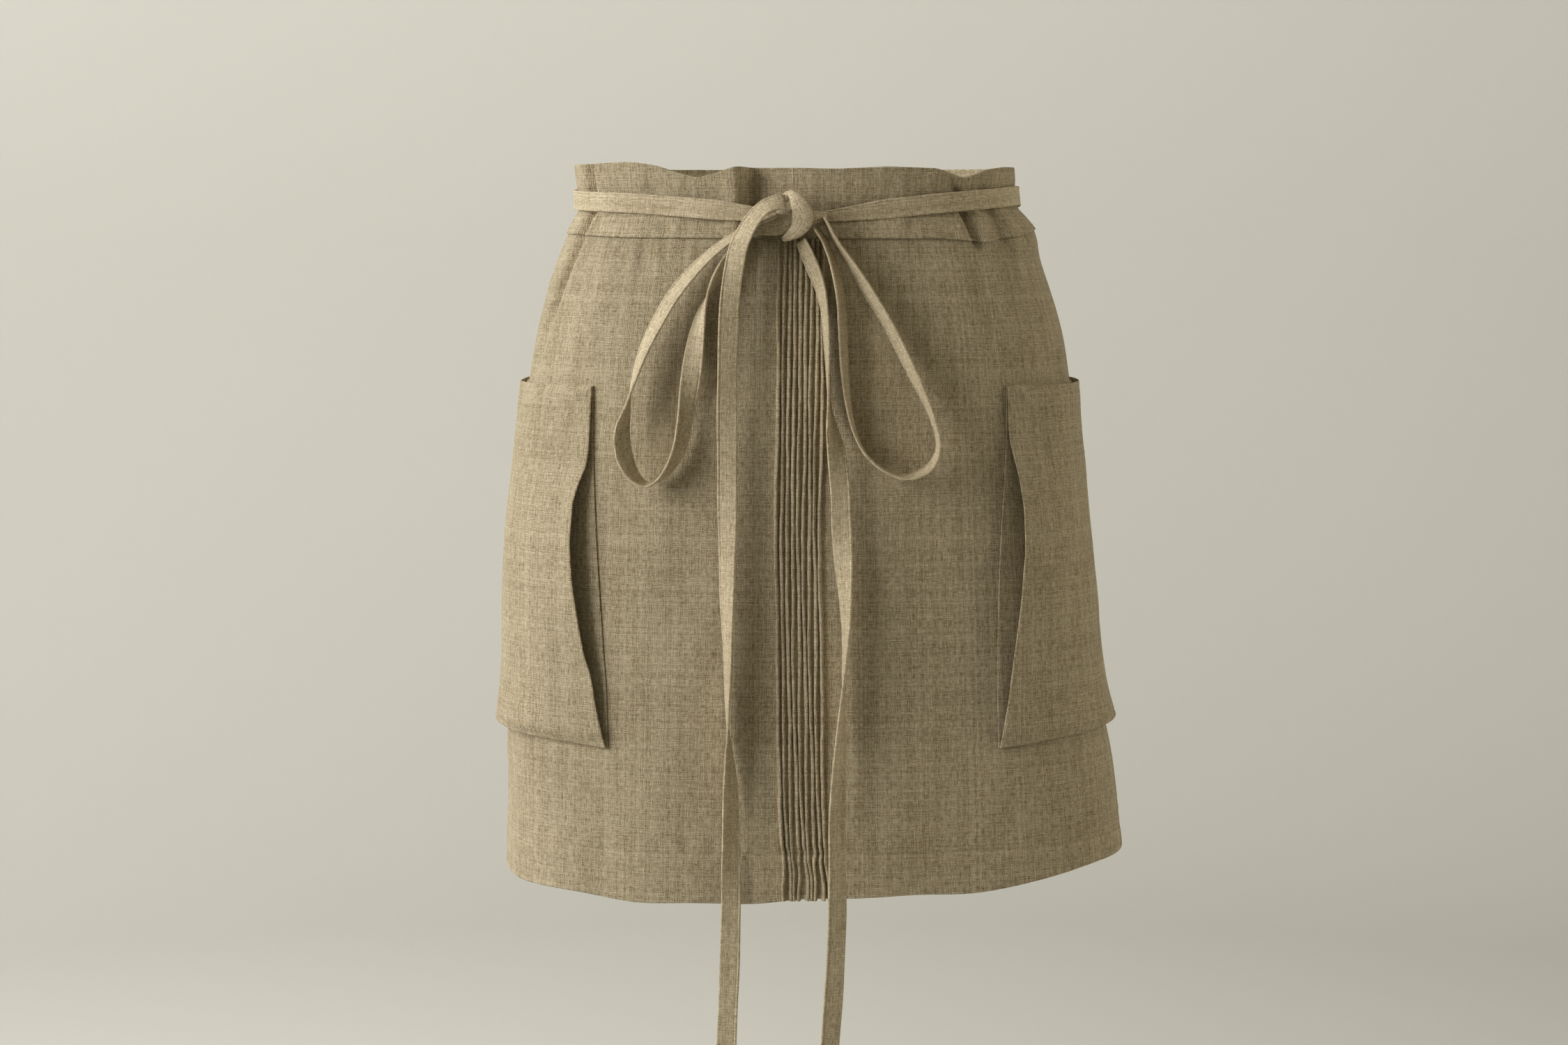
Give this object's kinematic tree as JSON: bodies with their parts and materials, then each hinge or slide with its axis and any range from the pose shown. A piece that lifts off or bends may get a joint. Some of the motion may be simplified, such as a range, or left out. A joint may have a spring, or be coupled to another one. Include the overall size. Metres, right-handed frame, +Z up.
{
  "type": "apron",
  "caption": "Linen waist apron hanging as worn: banded waist, pin-tucked front, two gaping side pockets, and long ties wrapped round the waist and tied in a bow in front.",
  "frame": {"origin": "middle of the wearer's waist, at the height of the ties' middle, with the apron shaped as worn", "axes": "+Z up along the body, -Y out of the apron's front, +X to the right of someone facing the front"},
  "size_m": [0.4122, 0.2648, 0.5792],
  "materials": {
    "linen": "washed natural linen, plain weave, matt",
    "tie_tape": "natural linen folded and topstitched flat, matt",
    "thread": "matt cotton sewing thread",
    "interfacing": "thin off-white woven interfacing"
  },
  "bodies": {
    "apron": {"waistband_left": "linen", "waistband_right": "linen", "waistband_facing_left": "linen", "waistband_facing_right": "linen", "interfacing_left": "interfacing", "interfacing_right": "interfacing", "waist_stitching": "thread", "front_panel": "linen", "back_panel_left": "linen", "back_panel_right": "linen", "side_seam_left": "linen", "side_seam_right": "linen", "pin_tucks": "linen", "hem_front": "linen", "hem_back_left": "linen", "hem_back_right": "linen", "hem_stitching": "thread", "back_edge_hem_left": "linen", "back_edge_hem_right": "linen", "pocket_backing_left": "linen", "pocket_backing_right": "linen", "pocket_front_left": "linen", "pocket_front_right": "linen", "pocket_bartacks_left": "thread", "pocket_bartacks_right": "thread", "pocket_stitching_left": "thread", "pocket_stitching_right": "thread", "waist_tie_left": "tie_tape", "waist_tie_right": "tie_tape", "tie_tack_left": "thread", "tie_tack_right": "thread", "bow_knot": "tie_tape", "tail_arch_left": "tie_tape", "tail_lead_right": "tie_tape"},
    "pocket_mouth_left": {"pocket_mouth_left": "linen"},
    "pocket_mouth_right": {"pocket_mouth_right": "linen"},
    "bow_loop_left": {"bow_loop_left": "tie_tape"},
    "bow_loop_right": {"bow_loop_right": "tie_tape"},
    "tie_tail_left": {"tie_tail_left": "tie_tape"},
    "tie_tail_right": {"tie_tail_right": "tie_tape"}
  },
  "joints": [
    {"name": "pocket_mouth_left_swing", "type": "hinge", "parent": "apron", "child": "pocket_mouth_left", "pos_m": [-0.1226, -0.10014, -0.223], "axis": [-0.031, 0.0537, 0.9981], "range_deg": [-10, 20], "stiffness_Nm_per_rad": 0.002},
    {"name": "pocket_mouth_right_swing", "type": "hinge", "parent": "apron", "child": "pocket_mouth_right", "pos_m": [0.1345, -0.09871, -0.223], "axis": [-0.0196, -0.0659, -0.9976], "range_deg": [-10, 20], "stiffness_Nm_per_rad": 0.002},
    {"name": "bow_loop_left_swing", "type": "hinge", "parent": "apron", "child": "bow_loop_left", "pos_m": [0.006, -0.1146, -0.005], "axis": [0, 1, 0], "range_deg": [-5, 9]},
    {"name": "bow_loop_right_swing", "type": "hinge", "parent": "apron", "child": "bow_loop_right", "pos_m": [0.006, -0.1146, -0.005], "axis": [0, 1, 0], "range_deg": [-12, 0]},
    {"name": "tie_tail_left_swing", "type": "hinge", "parent": "apron", "child": "tie_tail_left", "pos_m": [-0.0348, -0.1286, -0.031], "axis": [0, 1, 0], "range_deg": [-3, 5]},
    {"name": "tie_tail_right_swing", "type": "hinge", "parent": "apron", "child": "tie_tail_right", "pos_m": [0.021, -0.122, -0.075], "axis": [0, 1, 0], "range_deg": [-1, 5]}
  ]
}
